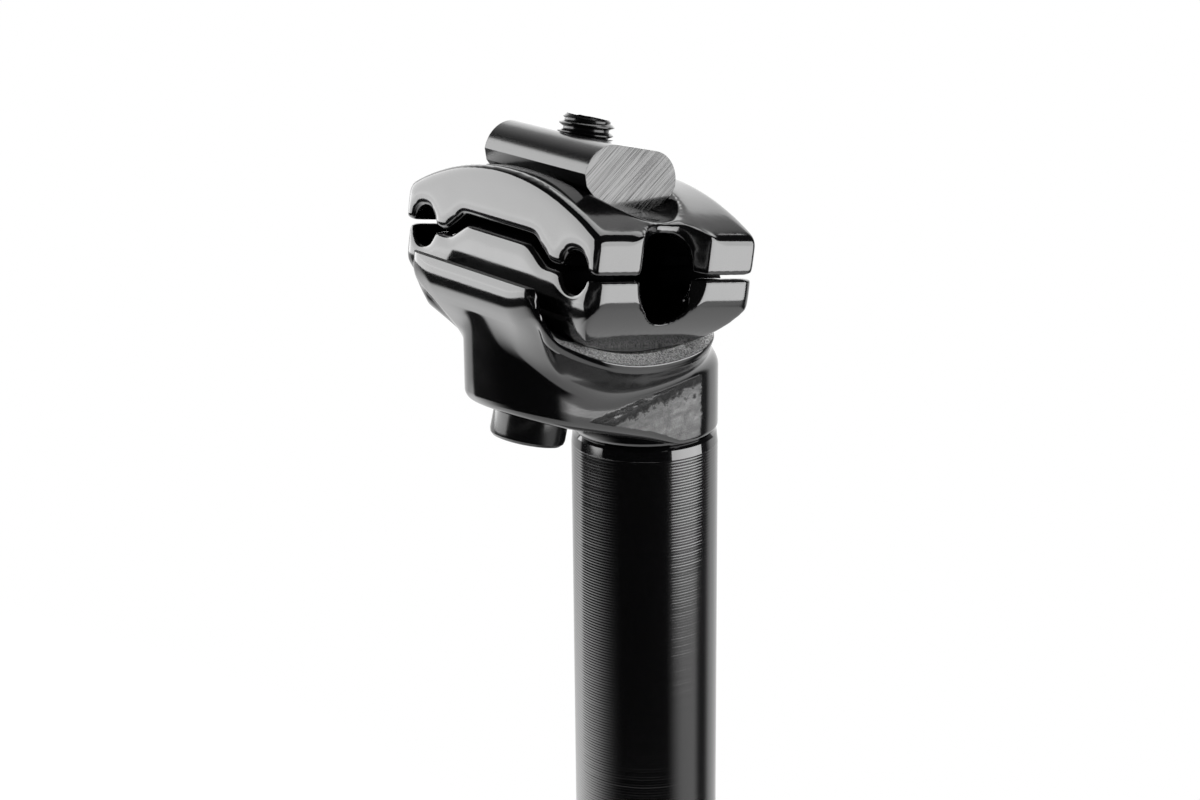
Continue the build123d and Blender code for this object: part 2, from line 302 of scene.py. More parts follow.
sections = []
for step, (wall, rim, start, wall_in, rim_in) in enumerate(
    zip(wall_plan, rim_plan, starts, inwards(wall_plan), inwards(rim_plan))
):
    along = step / columns
    lip = 1 - ramp(along, *lip_end)
    foot = max(neck_foot + neck_gap, boss_foot[1] - foot_slope * (wall.y - boss_foot[0]))
    low_foot, high_foot = [neck_foot + rise for rise in foot_rounding_rise]
    round_off = foot_round + foot_round * ramp(foot, low_foot, high_foot)
    section = []
    for turn in range(0, 91, 15):
        inset = round_off * (1 - math.sin(math.radians(turn)))
        lift = round_off * (1 - math.cos(math.radians(turn)))
        section.append((*(wall + wall_in * inset), foot + lift))
    for part in wall_shares:
        section.append((*wall, foot + round_off + (start - foot - round_off) * part))
    crease = pivot.z / mm - math.sqrt(crease_radius ** 2 - (rim.y - pivot.y / mm) ** 2)
    tuck = corner_tuck * ramp(along, *corner_rise) * (1 - ramp(along, *corner_fall))
    lip_undercut = bead_height ** 2 / (2 * flare_radius)
    tip = rim + rim_in * (rim_undercut + (lip_undercut - rim_undercut) * lip + tuck)
    out = tip - wall
    reach = math.hypot(out.length, crease - start)
    slope = math.atan2(out.length, crease - start) + flare_tilt
    slope += (math.atan(bead_height / flare_radius) - slope) * lip * lip_grip
    toward = (out.normalized() * math.sin(slope)).to_3d() + Vector((0, 0, math.cos(slope)))
    bottom = Vector((*wall, start))
    top = Vector((*tip, crease))
    rise = Vector((0, 0, wall_grip * reach))
    pull = toward * min(flare_grip * reach, out.length / math.sin(slope))
    curve = interpolate_bezier(bottom, bottom + rise, top - pull, top, flare_rows)
    section += [tuple(point) for point in curve]
    wall_top = lip_top - crease
    flank = [*rim_flank, (wall_top, rim_flank[-1][1])]
    for (height, inset), share in zip(flank, bead_shares):
        bead = share * wall_top
        bend = bead_radius if bead > bead_height else flare_radius
        height += (bead - height) * lip
        inset += ((bead - bead_height) ** 2 / (2 * bend) - inset) * lip + tuck * (1 - height / wall_top)
        section.append((*(rim + rim_in * inset), crease + height))
    sections.append(section)

rows = len(sections[0])
sections += [[(-x, y, z) for x, y, z in section] for section in sections[-2:0:-1]]
around = len(sections)
corners = [(x * mm, y * mm, z * mm) for section in sections for x, y, z in section]
faces = []
for here in range(around):
    ahead = (here + 1) % around
    for row in range(rows - 1):
        low, low_ahead = here * rows + row, ahead * rows + row
        faces.append((low, low_ahead, low_ahead + 1, low + 1))
for here in range(columns):
    ring = (here, here + 1, around - here - 1, (around - here) % around)
    for row in (0, rows - 1):
        faces.append(tuple(dict.fromkeys(column * rows + row for column in ring)))
skin = bpy.data.meshes.new("polished_head")
skin.from_pydata(corners, [], faces)
head = bpy.data.objects.new("polished_head", skin)
bpy.context.scene.collection.objects.link(head)
bpy.ops.object.select_all(action="DESELECT")
head.select_set(True)
bpy.context.view_layer.objects.active = head
bpy.ops.object.mode_set(mode="EDIT")
bpy.ops.mesh.select_all(action="SELECT")
bpy.ops.mesh.normals_make_consistent(inside=False)
bpy.ops.object.mode_set(mode="OBJECT")


def cut(piece, tool, operation):
    """Cuts a piece with another one, which is then thrown away."""
    bpy.ops.object.select_all(action="DESELECT")
    piece.select_set(True)
    bpy.context.view_layer.objects.active = piece
    step = piece.modifiers.new("cut", "BOOLEAN")
    step.object = tool
    step.operation = operation
    step.solver = "EXACT"
    bpy.ops.object.modifier_apply(modifier=step.name)
    bpy.data.objects.remove(tool)


bpy.ops.object.select_all(action="DESELECT")
bpy.ops.mesh.primitive_cylinder_add(
    vertices=360,
    radius=trough_radius * mm,
    depth=trough_cut_length,
    location=pivot,
    rotation=(0, math.pi / 2, 0),
)
trough = bpy.context.object
bpy.ops.object.transform_apply(location=True, rotation=True)
bpy.ops.object.mode_set(mode="EDIT")
bpy.ops.mesh.select_all(action="SELECT")
bpy.ops.mesh.bisect(
    plane_co=(0, lip_root[0] * mm, lip_root[1] * mm),
    plane_no=Vector((0, lip_shoulder[1] - lip_root[1], lip_root[0] - lip_shoulder[0])).normalized(),
    clear_inner=True,
    use_fill=True,
)
bpy.ops.object.mode_set(mode="OBJECT")
cut(head, trough, "DIFFERENCE")
for radius, low, high in (shank_drill, cap_drill):
    bpy.ops.mesh.primitive_cylinder_add(
        vertices=drill_steps,
        radius=radius,
        depth=high - low,
        location=(0, 0, (high + low) / 2),
    )
    drill = bpy.context.object
    bpy.ops.object.transform_apply(location=True)
    drill.matrix_world = bolt_frame
    bpy.ops.object.transform_apply(location=True, rotation=True)
    cut(head, drill, "DIFFERENCE")


def solid_turned(name, profile, steps):
    """A turned piece without a bore: its tiny first and last rings are drawn shut on the axis."""
    piece = turned(name, profile, steps)
    bpy.ops.object.mode_set(mode="EDIT")
    bpy.ops.mesh.select_all(action="SELECT")
    bpy.ops.mesh.remove_doubles(threshold=5 * axis_radius)
    bpy.ops.mesh.normals_make_consistent(inside=False)
    bpy.ops.object.mode_set(mode="OBJECT")
    return piece


neck_end = solid_turned("neck_end", [
    (axis_radius, spigot_foot),
    (spigot_radius, spigot_foot),
    (spigot_radius, skirt_foot),
    *skirt_corner,
    (skirt_radius, skirt_top),
    (axis_radius, skirt_top),
], lathe_steps)
cut(head, neck_end, "UNION")
broken = head.modifiers.new("broken_edges", "BEVEL")
broken.width = head_edge
broken.segments = 2
broken.limit_method = "ANGLE"
broken.angle_limit = head_edge_angle
bpy.ops.object.modifier_apply(modifier=broken.name)
bpy.ops.object.shade_smooth_by_angle(angle=head_crease)

# Polished black anodising: a dyed oxide over polished aluminium, so deep black with a glassy
# gloss, a slight waviness from the polishing wheel and a fine grain where the oxide bites.
polished_black = bpy.data.materials.new("black_anodised_polished_aluminium")
polished_black.use_nodes = True
grain_size = 0.00035
grain_depth = 0.0000022
swirl_size = 0.006
swirl_depth = 0.00002
polish_roughness = (0.09, 0.13)
full_sheen = 0.5
shader = polished_black.node_tree.nodes["Principled BSDF"]
shader.inputs["Base Color"].default_value = linear(oxide_colour)
shader.inputs["IOR"].default_value = oxide_index
place = add(polished_black, "ShaderNodeTexCoord", {}).outputs["Object"]
grain = add(
    polished_black,
    "ShaderNodeTexNoise",
    {"Vector": place, "Scale": 1 / grain_size, "Detail": 2.0},
).outputs["Fac"]
swirl = add(
    polished_black,
    "ShaderNodeTexNoise",
    {"Vector": place, "Scale": 1 / swirl_size, "Detail": 1.0},
).outputs["Fac"]
gloss = add(
    polished_black,
    "ShaderNodeMapRange",
    {
        "Value": swirl,
        "From Min": 0.3,
        "From Max": 0.7,
        "To Min": polish_roughness[0],
        "To Max": polish_roughness[1],
    },
).outputs[0]
polished_black.node_tree.links.new(gloss, shader.inputs["Roughness"])
wavy = add(polished_black, "ShaderNodeBump", {"Distance": swirl_depth, "Height": swirl}).outputs["Normal"]
fine = add(
    polished_black,
    "ShaderNodeBump",
    {"Distance": grain_depth, "Height": grain, "Normal": wavy},
).outputs["Normal"]
polished_black.node_tree.links.new(fine, shader.inputs["Normal"])

# Head finish: the same black, but the trough is left as it was blasted and the flat sides of the
# neck as they were ground, so both scatter the light. A painted light grey stands in for highlights:
# glints on the grains of the trough's outer rim and streaks on the lower part of the ground patch.
# A painted dark strip runs along the upper edge of the ground patch, where it meets the polish.
rim_inside = 0.0180
blast_edge = (1.30, 1.50)
grit_size = 0.0003
grit_depth = 0.00010
grit_roughness = (0.30, 0.60)
dark_strip_sheen = 0.10
cloud_size = 0.0022
streak_tilt = math.radians(8)
streak_size = (1.0, 0.016, 0.0020)
facing_up = 0.5
side_ragged = 0.030
side_edge = (0.998, 1.006)
patch_slope = -0.23
patch_wave = 0.006
patch_fray = (0.0040, 0.3302, 0.3317)
patch_tear = (0.0090, 0.3310, 0.3322)
painted_highlight_grey = "#D2D2D2"
head_black = polished_black.copy()
head_black.name = "black_anodised_forged_aluminium"
shader = head_black.node_tree.nodes["Principled BSDF"]
where = add(head_black, "ShaderNodeTexCoord", {}).outputs
grit = add(
    head_black,
    "ShaderNodeTexNoise",
    {"Vector": where["Object"], "Scale": 1 / grit_size, "Detail": 3.0, "Roughness": 0.7},
).outputs["Fac"]
cloud = add(
    head_black,
    "ShaderNodeTexNoise",
    {"Vector": where["Object"], "Scale": 1 / cloud_size, "Detail": 4.0, "Roughness": 0.7},
).outputs["Fac"]
around_x = add(
    head_black,
    "ShaderNodeMapping",
    {"Vector": where["Object"], "Location": -pivot, "Scale": (0, 1, 1)},
).outputs["Vector"]
from_pivot = add(head_black, "ShaderNodeVectorMath", {0: around_x}, operation="LENGTH").outputs["Value"]
in_trough = add(
    head_black,
    "ShaderNodeMapRange",
    {
        "Value": from_pivot,
        "From Min": (trough_radius + blast_edge[0]) * mm,
        "From Max": (trough_radius + blast_edge[1]) * mm,
        "To Min": 1,
        "To Max": 0,
    },
).outputs[0]
face = add(head_black, "ShaderNodeSeparateXYZ", {"Vector": where["Normal"]}).outputs
looks_up = add(
    head_black,
    "ShaderNodeMath",
    {0: face["Z"], 1: facing_up},
    operation="GREATER_THAN",
).outputs[0]
in_trough = add(head_black, "ShaderNodeMath", {0: in_trough, 1: looks_up}, operation="MULTIPLY").outputs[0]
sideways = add(head_black, "ShaderNodeMath", {0: face["X"]}, operation="ABSOLUTE").outputs[0]
ragged = add(
    head_black,
    "ShaderNodeMath",
    {0: cloud, 1: side_ragged, 2: sideways},
    operation="MULTIPLY_ADD",
).outputs[0]
on_side = add(
    head_black,
    "ShaderNodeMapRange",
    {"Value": ragged, "From Min": side_edge[0], "From Max": side_edge[1]},
).outputs[0]
ground = add(
    head_black,
    "ShaderNodeMapping",
    {"Vector": where["Object"], "Rotation": (streak_tilt, 0, 0), "Scale": streak_size},
    vector_type="TEXTURE",
).outputs["Vector"]
streak = add(
    head_black,
    "ShaderNodeTexNoise",
    {"Vector": ground, "Scale": 1.0, "Detail": 3.0, "Roughness": 0.55},
).outputs["Fac"]
spot = add(head_black, "ShaderNodeSeparateXYZ", {"Vector": where["Object"]}).outputs
edge = spot["Z"]
for value, amount in ((spot["Y"], patch_slope), (streak, patch_wave)):
    edge = add(
        head_black,
        "ShaderNodeMath",
        {0: value, 1: amount, 2: edge},
        operation="MULTIPLY_ADD",
    ).outputs[0]
below = []
for tear, ground_to, polished_from in (patch_fray, patch_tear):
    torn = add(
        head_black,
        "ShaderNodeMath",
        {0: cloud, 1: tear, 2: edge},
        operation="MULTIPLY_ADD",
    ).outputs[0]
    below.append(add(
        head_black,
        "ShaderNodeMapRange",
        {"Value": torn, "From Min": ground_to, "From Max": polished_from, "To Min": 1, "To Max": 0},
    ).outputs[0])
on_patch, lit = below
on_side = add(head_black, "ShaderNodeMath", {0: on_side, 1: on_patch}, operation="MULTIPLY").outputs[0]
# painted shade: above the lit edge of the ground patch the reflection is turned down to a dark strip
unlit = add(head_black, "ShaderNodeMath", {0: 1.0, 1: lit}, operation="SUBTRACT").outputs[0]
unlit = add(head_black, "ShaderNodeMath", {0: unlit, 1: on_side}, operation="MULTIPLY").outputs[0]
sheen = add(
    head_black,
    "ShaderNodeMapRange",
    {"Value": unlit, "From Max": 0.2, "To Min": full_sheen, "To Max": dark_strip_sheen},
).outputs[0]
head_black.node_tree.links.new(sheen, shader.inputs["Specular IOR Level"])
coarse = add(head_black, "ShaderNodeMath", {0: in_trough, 1: on_side}, operation="MAXIMUM").outputs[0]
smooth_gloss = shader.inputs["Roughness"].links[0].from_socket
rough_gloss = add(
    head_black,
    "ShaderNodeMapRange",
    {"Value": grit, "To Min": grit_roughness[0], "To Max": grit_roughness[1]},
).outputs[0]
blotch = add(
    head_black,
    "ShaderNodeMapRange",
    {"Value": cloud, "From Min": 0.35, "From Max": 0.62, "To Min": 0.06, "To Max": 0.30},
).outputs[0]
# painted highlight: light grey streaks on the lower, lit part of the ground patch
painted_highlight = add(
    head_black,
    "ShaderNodeMapRange",
    {"Value": streak, "From Min": 0.38, "From Max": 0.62, "To Min": 0.25, "To Max": 1.0},
).outputs[0]
for share in (on_side, lit, blotch):
    painted_highlight = add(head_black, "ShaderNodeMath", {0: painted_highlight, 1: share}, operation="MULTIPLY").outputs[0]
grains = add(
    head_black,
    "ShaderNodeMapRange",
    {"Value": grit, "From Min": 0.36, "From Max": 0.60},
).outputs[0]
# painted glints: light grey on the grains of the trough's outer rim
aside = add(head_black, "ShaderNodeMath", {0: spot["X"]}, operation="ABSOLUTE").outputs[0]
on_rim = add(head_black, "ShaderNodeMath", {0: aside, 1: rim_inside}, operation="GREATER_THAN").outputs[0]
for share in (in_trough, grains):
    on_rim = add(head_black, "ShaderNodeMath", {0: on_rim, 1: share}, operation="MULTIPLY").outputs[0]
painted_highlight = add(head_black, "ShaderNodeMath", {0: painted_highlight, 1: on_rim}, operation="MAXIMUM").outputs[0]
tint = add(
    head_black,
    "ShaderNodeMix",
    {"Factor": painted_highlight, "A": linear(oxide_colour), "B": linear(painted_highlight_grey)},
    data_type="RGBA",
).outputs["Result"]
head_black.node_tree.links.new(tint, shader.inputs["Base Color"])
gloss = add(
    head_black,
    "ShaderNodeMix",
    {"Factor": coarse, "A": smooth_gloss, "B": rough_gloss},
).outputs["Result"]
head_black.node_tree.links.new(gloss, shader.inputs["Roughness"])
grit_height = add(head_black, "ShaderNodeMath", {0: grit, 1: coarse}, operation="MULTIPLY").outputs[0]
blast = add(
    head_black,
    "ShaderNodeBump",
    {"Distance": grit_depth, "Height": grit_height, "Normal": shader.inputs["Normal"].links[0].from_socket},
)
head_black.node_tree.links.new(blast.outputs["Normal"], shader.inputs["Normal"])
head.data.materials.clear()
head.data.materials.append(head_black)
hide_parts("head")
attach(head, "post")

# Lower clamp half: an aluminium forging with two rail grooves above and a round belly that
# rocks in the head's trough. The bolt passes through its slot. Its edges are rubbed round, as no
# bevel takes all of them.
skin_step = 0.0003
rub_factor = 0.5
rub_rounds = 75


def forged(name, node):
    """A copy of a solid, closed to an even skin and rubbed down all over."""
    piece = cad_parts[node].copy()
    piece.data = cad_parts[node].data.copy()
    piece.name = name
    bpy.context.scene.collection.objects.link(piece)
    for key in list(piece.keys()):
        del piece[key]
    piece.parent = None
    bpy.ops.object.select_all(action="DESELECT")
    piece.select_set(True)
    bpy.context.view_layer.objects.active = piece
    bpy.ops.mesh.customdata_custom_splitnormals_clear()
    bpy.ops.object.mode_set(mode="EDIT")
    bpy.ops.mesh.select_all(action="SELECT")
    bpy.ops.mesh.remove_doubles(threshold=weld_gap)
    bpy.ops.object.mode_set(mode="OBJECT")
    skin = piece.modifiers.new("even_skin", "REMESH")
    skin.mode = "VOXEL"
    skin.voxel_size = skin_step
    bpy.ops.object.modifier_apply(modifier=skin.name)
    for rounds, across in ((rub_rounds, False), (rub_rounds // 5, True)):
        rub = piece.modifiers.new("rub", "SMOOTH")
        rub.factor = rub_factor
        rub.iterations = rounds
        rub.use_x = across
        bpy.ops.object.modifier_apply(modifier=rub.name)
    bpy.ops.object.shade_smooth()
    piece.data.materials.clear()
    return piece


# Clamp finish: the same black, with painted shade inside the rail grooves and the windows at the ends:
# there the reflection is turned off, so the insides look black like holes.
rail_centre = Vector((0, -16.1, 350.0)) * mm
rail_tilt = math.radians(9.1)
painted_shade_box = (("X", 24.0, 25.2), ("Y", 15.0, 16.5), ("Z", 6.0, 6.8))
clamp_black = polished_black.copy()
clamp_black.name = "black_anodised_clamp_aluminium"
shader = clamp_black.node_tree.nodes["Principled BSDF"]
place = add(clamp_black, "ShaderNodeTexCoord", {}).outputs["Object"]
place = add(
    clamp_black,
    "ShaderNodeMapping",
    {"Vector": place, "Location": rail_centre, "Rotation": (-rail_tilt, 0, 0)},
    vector_type="TEXTURE",
).outputs["Vector"]
place = add(clamp_black, "ShaderNodeVectorMath", {0: place}, operation="ABSOLUTE").outputs[0]
place = add(clamp_black, "ShaderNodeSeparateXYZ", {"Vector": place}).outputs
# painted shade: 1 inside the box round the windows' tunnel, fading to 0 at its walls
dull = 1.0
for axis, dull_to, bright_from in painted_shade_box:
    inside = add(
        clamp_black,
        "ShaderNodeMapRange",
        {
            "Value": place[axis],
            "From Min": dull_to * mm,
            "From Max": bright_from * mm,
            "To Min": 1,
            "To Max": 0,
        },
    ).outputs[0]
    dull = add(clamp_black, "ShaderNodeMath", {0: dull, 1: inside}, operation="MULTIPLY").outputs[0]
sheen = add(
    clamp_black,
    "ShaderNodeMapRange",
    {"Value": dull, "To Min": full_sheen, "To Max": 0.0},
).outputs[0]
clamp_black.node_tree.links.new(sheen, shader.inputs["Specular IOR Level"])

lower = forged("lower_clamp_half", "lower_clamp")
lower.data.materials.append(clamp_black)
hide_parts("lower_clamp")
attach(lower, "lower_clamp")

# Upper clamp half: the bridge that presses the rails down, forged with an arched crown and a
# hollow seat across it for the nut bar.
upper = forged("upper_clamp_half", "upper_clamp")
upper.data.materials.append(clamp_black)
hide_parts("upper_clamp")
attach(upper, "upper_clamp")

# Nut bar: a length of extruded aluminium bar with a flat top and a round underside, drilled and
# tapped for the bolt, sawn off square at both ends and anodised black.
nut_half_length = 0.0145
nut_half_width = 0.01015
nut_top = -0.00279
nut_shoulder = 0.0057
nut_flank_foot = -0.00849
nut_underside = 0.0140
nut_depth = 0.0150
nut_heel_half_width = 0.00733
nut_thread_radius = 0.00505
nut_edge = 0.00022
nut_edge_angle = math.radians(40)
nut_crease = math.radians(12)
through = 0.06

bpy.ops.object.select_all(action="DESELECT")
bpy.ops.mesh.primitive_cube_add(size=1, location=(0, 0, (nut_top - nut_depth) / 2))
nut = bpy.context.object
nut.name = "sawn_nut_bar"
nut.scale = (2 * nut_half_length, 2 * nut_half_width, nut_top + nut_depth)
bpy.ops.object.transform_apply(location=True, scale=True)
bpy.ops.object.mode_set(mode="EDIT")
bpy.ops.mesh.select_all(action="SELECT")
bpy.ops.mesh.bisect(plane_co=(0, 0, nut_flank_foot), plane_no=(0, 0, 1))
bpy.ops.mesh.select_all(action="DESELECT")
bpy.ops.object.mode_set(mode="OBJECT")
for vertex in nut.data.vertices:
    vertex.select = vertex.co.z < (nut_flank_foot - nut_depth) / 2
bpy.ops.object.mode_set(mode="EDIT")
bpy.ops.transform.resize(
    value=(1, nut_heel_half_width / nut_half_width, 1),
    center_override=(0, 0, -nut_depth),
)
bpy.ops.mesh.select_all(action="DESELECT")
bpy.ops.mesh.select_mode(type="EDGE")
bpy.ops.object.mode_set(mode="OBJECT")
for edge in nut.data.edges:
    ends = [nut.data.vertices[number].co for number in edge.vertices]
    lengthwise = abs(ends[0].x - ends[1].x) > nut_half_length
    edge.select = lengthwise and all(end.z > nut_top - nut_edge for end in ends)
bpy.ops.object.mode_set(mode="EDIT")
bpy.ops.mesh.bevel(offset=nut_shoulder, segments=20, affect="EDGES")
bpy.ops.object.mode_set(mode="OBJECT")
bpy.ops.mesh.primitive_cylinder_add(
    vertices=256,
    radius=nut_underside,
    depth=through,
    rotation=(0, math.pi / 2, 0),
)
cut(nut, bpy.context.object, "INTERSECT")
bpy.ops.mesh.primitive_cylinder_add(vertices=drill_steps, radius=nut_thread_radius, depth=through)
cut(nut, bpy.context.object, "DIFFERENCE")
break_edges = nut.modifiers.new("broken_edges", "BEVEL")
break_edges.width = nut_edge
break_edges.segments = 2
break_edges.limit_method = "ANGLE"
break_edges.angle_limit = nut_edge_angle
bpy.ops.object.modifier_apply(modifier=break_edges.name)
nut.matrix_world = bolt_frame
bpy.ops.object.transform_apply(location=True, rotation=True)
bpy.ops.object.shade_smooth_by_angle(angle=nut_crease)

# Sawn ends: the saw's teeth leave thin slanting scratches across both ends, about a third of a
# millimetre apart, with painted shade in them where the reflection is turned down, so they look dark.
# The bar's sides keep a drawn finish, softer than polish.
saw_tilt = math.radians(36.6)
saw_stroke = (1.0, 0.030, 0.00030)
saw_width = 0.045
saw_depth = 0.000006
saw_margin = 0.0002
shaded_scratch_sheen = 0.20
sawn_roughness = 0.12
drawn_roughness = 0.19
sawn_black = polished_black.copy()
sawn_black.name = "black_anodised_sawn_aluminium"
shader = sawn_black.node_tree.nodes["Principled BSDF"]
place = add(sawn_black, "ShaderNodeTexCoord", {}).outputs["Object"]
side = add(sawn_black, "ShaderNodeSeparateXYZ", {"Vector": place}).outputs["X"]
side = add(sawn_black, "ShaderNodeMath", {0: side}, operation="ABSOLUTE").outputs[0]
at_end = add(
    sawn_black,
    "ShaderNodeMath",
    {0: side, 1: nut_half_length - saw_margin},
    operation="GREATER_THAN",
).outputs[0]
strokes = add(
    sawn_black,
    "ShaderNodeMapping",
    {"Vector": place, "Rotation": (saw_tilt, 0, 0), "Scale": saw_stroke},
    vector_type="TEXTURE",
).outputs["Vector"]
scratch = add(
    sawn_black,
    "ShaderNodeTexNoise",
    {"Vector": strokes, "Scale": 1.0, "Detail": 1.0, "Roughness": 0.5},
).outputs["Fac"]
scratch = add(sawn_black, "ShaderNodeMath", {0: scratch, 1: 0.5}, operation="SUBTRACT").outputs[0]
scratch = add(sawn_black, "ShaderNodeMath", {0: scratch}, operation="ABSOLUTE").outputs[0]
scratch = add(
    sawn_black,
    "ShaderNodeMapRange",
    {"Value": scratch, "From Min": 0.0, "From Max": saw_width},
    interpolation_type="SMOOTHSTEP",
).outputs[0]
scratch = add(sawn_black, "ShaderNodeMath", {0: scratch, 1: at_end}, operation="MULTIPLY").outputs[0]
polish = shader.inputs["Normal"].links[0].from_socket
saw_bump = add(sawn_black, "ShaderNodeBump", {"Distance": saw_depth, "Height": scratch, "Normal": polish})
sawn_black.node_tree.links.new(saw_bump.outputs["Normal"], shader.inputs["Normal"])
# painted shade: the reflection is turned down in the scratches on the sawn ends
uncut = add(sawn_black, "ShaderNodeMath", {0: 1.0, 1: at_end}, operation="SUBTRACT").outputs[0]
uncut = add(sawn_black, "ShaderNodeMath", {0: uncut, 1: scratch}, operation="MAXIMUM").outputs[0]
sheen = add(
    sawn_black,
    "ShaderNodeMapRange",
    {"Value": uncut, "To Min": shaded_scratch_sheen, "To Max": full_sheen},
).outputs[0]
sawn_black.node_tree.links.new(sheen, shader.inputs["Specular IOR Level"])
gloss = add(
    sawn_black,
    "ShaderNodeMapRange",
    {"Value": at_end, "To Min": drawn_roughness, "To Max": sawn_roughness},
).outputs[0]
sawn_black.node_tree.links.new(gloss, shader.inputs["Roughness"])
nut.data.materials.clear()
nut.data.materials.append(sawn_black)
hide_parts("nut_bar")
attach(nut, "nut_bar")

# Clamp bolt: a steel bolt with a rolled M10 thread and a low round head with a hexagon socket,
# blackened. It comes up from under the boss through both clamp halves into the nut bar.
thread_crest = 0.0049
thread_root = 0.00405
thread_pitch = 0.0015
thread_top = 0.0005
thread_foot = -0.0240
thread_form = [
    (thread_root, 0.12),
    (thread_crest, 0.44),
    (thread_crest, 0.56),
    (thread_root, 0.88),
    (thread_root, 1.0),
]
shank_radius = 0.0050
shank_foot = -0.0527
blank_over = 0.0002
blank_chamfer = 0.0013
blank_below = 0.001
thread_overlap = 0.0003
thread_runout = 0.0008
cap_edge = 0.0003
cap_radius = 0.0068
cap_height = 0.0052
cap_corner = [(0.0, 0.0013), (0.00017, 0.00065), (0.00065, 0.00017), (0.0013, 0.0)]
key_half_width = 0.0030
key_depth = 0.0040
thread_steps = 64
cap_steps = 96
bolt_crease = math.radians(30)

turns = math.ceil((thread_top - thread_foot) / thread_pitch) + 2
bpy.ops.object.select_all(action="DESELECT")
bpy.ops.mesh.primitive_plane_add(size=thread_pitch, location=(0, 0, 0))
thread = bpy.context.object
bpy.ops.object.mode_set(mode="EDIT")
bpy.ops.mesh.select_mode(type="VERT")
bpy.ops.mesh.select_all(action="SELECT")
bpy.ops.mesh.merge(type="CENTER")
bpy.ops.transform.translate(value=(thread_root, 0, thread_foot - thread_pitch))
for radius, share in thread_form:
    bpy.ops.object.mode_set(mode="OBJECT")
    last = [vertex.co for vertex in thread.data.vertices if vertex.select][0]
    target = Vector((radius, 0, thread_foot - thread_pitch + share * thread_pitch))
    bpy.ops.object.mode_set(mode="EDIT")
    bpy.ops.mesh.extrude_vertices_move(TRANSFORM_OT_translate={"value": target - last})
bpy.ops.object.mode_set(mode="OBJECT")
helix = thread.modifiers.new("helix", "SCREW")
helix.steps = thread_steps
helix.render_steps = thread_steps
helix.screw_offset = thread_pitch
helix.iterations = turns
helix.use_merge_vertices = True
bpy.ops.object.modifier_apply(modifier=helix.name)
bpy.ops.object.mode_set(mode="EDIT")
bpy.ops.mesh.select_all(action="SELECT")
bpy.ops.mesh.remove_doubles(threshold=weld_gap)
bpy.ops.mesh.bisect(plane_co=(0, 0, thread_top), plane_no=(0, 0, 1), clear_outer=True, use_fill=True)
bpy.ops.mesh.select_all(action="SELECT")
bpy.ops.mesh.bisect(plane_co=(0, 0, thread_foot), plane_no=(0, 0, 1), clear_inner=True, use_fill=True)
bpy.ops.mesh.select_all(action="SELECT")
bpy.ops.mesh.normals_make_consistent(inside=False)
bpy.ops.object.mode_set(mode="OBJECT")

blank = solid_turned("bolt_blank", [
    (axis_radius, thread_top),
    (thread_root - blank_over, thread_top),
    (thread_crest + blank_over, thread_top - blank_chamfer),
    (thread_crest + blank_over, thread_foot - blank_below),
    (axis_radius, thread_foot - blank_below),
], thread_steps)
cut(thread, blank, "INTERSECT")

cap_foot = shank_foot - cap_height
bolt = solid_turned("socket_head_bolt", [
    (axis_radius, thread_foot + thread_overlap),
    (thread_root, thread_foot + thread_overlap),
    (shank_radius, thread_foot - thread_runout),
    (shank_radius, shank_foot),
    (cap_radius - cap_edge, shank_foot),
    (cap_radius, shank_foot - cap_edge),
    *[(cap_radius - inset, cap_foot + rise) for inset, rise in cap_corner],
    (axis_radius, cap_foot),
], cap_steps)
bpy.ops.mesh.primitive_cylinder_add(
    vertices=6,
    radius=key_half_width / math.cos(math.pi / 6),
    depth=2 * key_depth,
    location=(0, 0, cap_foot),
)
cut(bolt, bpy.context.object, "DIFFERENCE")
bpy.ops.object.select_all(action="DESELECT")
thread.select_set(True)
bolt.select_set(True)
bpy.context.view_layer.objects.active = bolt
bpy.ops.object.join()
bolt.matrix_world = bolt_frame
bpy.ops.object.transform_apply(location=True, rotation=True)
bpy.ops.object.shade_smooth_by_angle(angle=bolt_crease)

# Blackened steel: a thin black oxide over rolled steel, darker and a little rougher than the
# polished aluminium.
scale_size = 0.0004
scale_depth = 0.000004
steel_colour = "#0D0D0E"
steel_index = 1.5
steel_roughness = (0.12, 0.26)
black_steel = bpy.data.materials.new("black_oxide_steel")
black_steel.use_nodes = True
shader = black_steel.node_tree.nodes["Principled BSDF"]
shader.inputs["Base Color"].default_value = linear(steel_colour)
shader.inputs["IOR"].default_value = steel_index
place = add(black_steel, "ShaderNodeTexCoord", {}).outputs["Object"]
scale = add(
    black_steel,
    "ShaderNodeTexNoise",
    {"Vector": place, "Scale": 1 / scale_size, "Detail": 3.0},
).outputs["Fac"]
dull = add(
    black_steel,
    "ShaderNodeMapRange",
    {"Value": scale, "To Min": steel_roughness[0], "To Max": steel_roughness[1]},
).outputs[0]
black_steel.node_tree.links.new(dull, shader.inputs["Roughness"])
bite = add(black_steel, "ShaderNodeBump", {"Distance": scale_depth, "Height": scale}).outputs["Normal"]
black_steel.node_tree.links.new(bite, shader.inputs["Normal"])
bolt.data.materials.clear()
bolt.data.materials.append(black_steel)
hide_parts("clamp_bolt")
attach(bolt, "clamp_bolt")

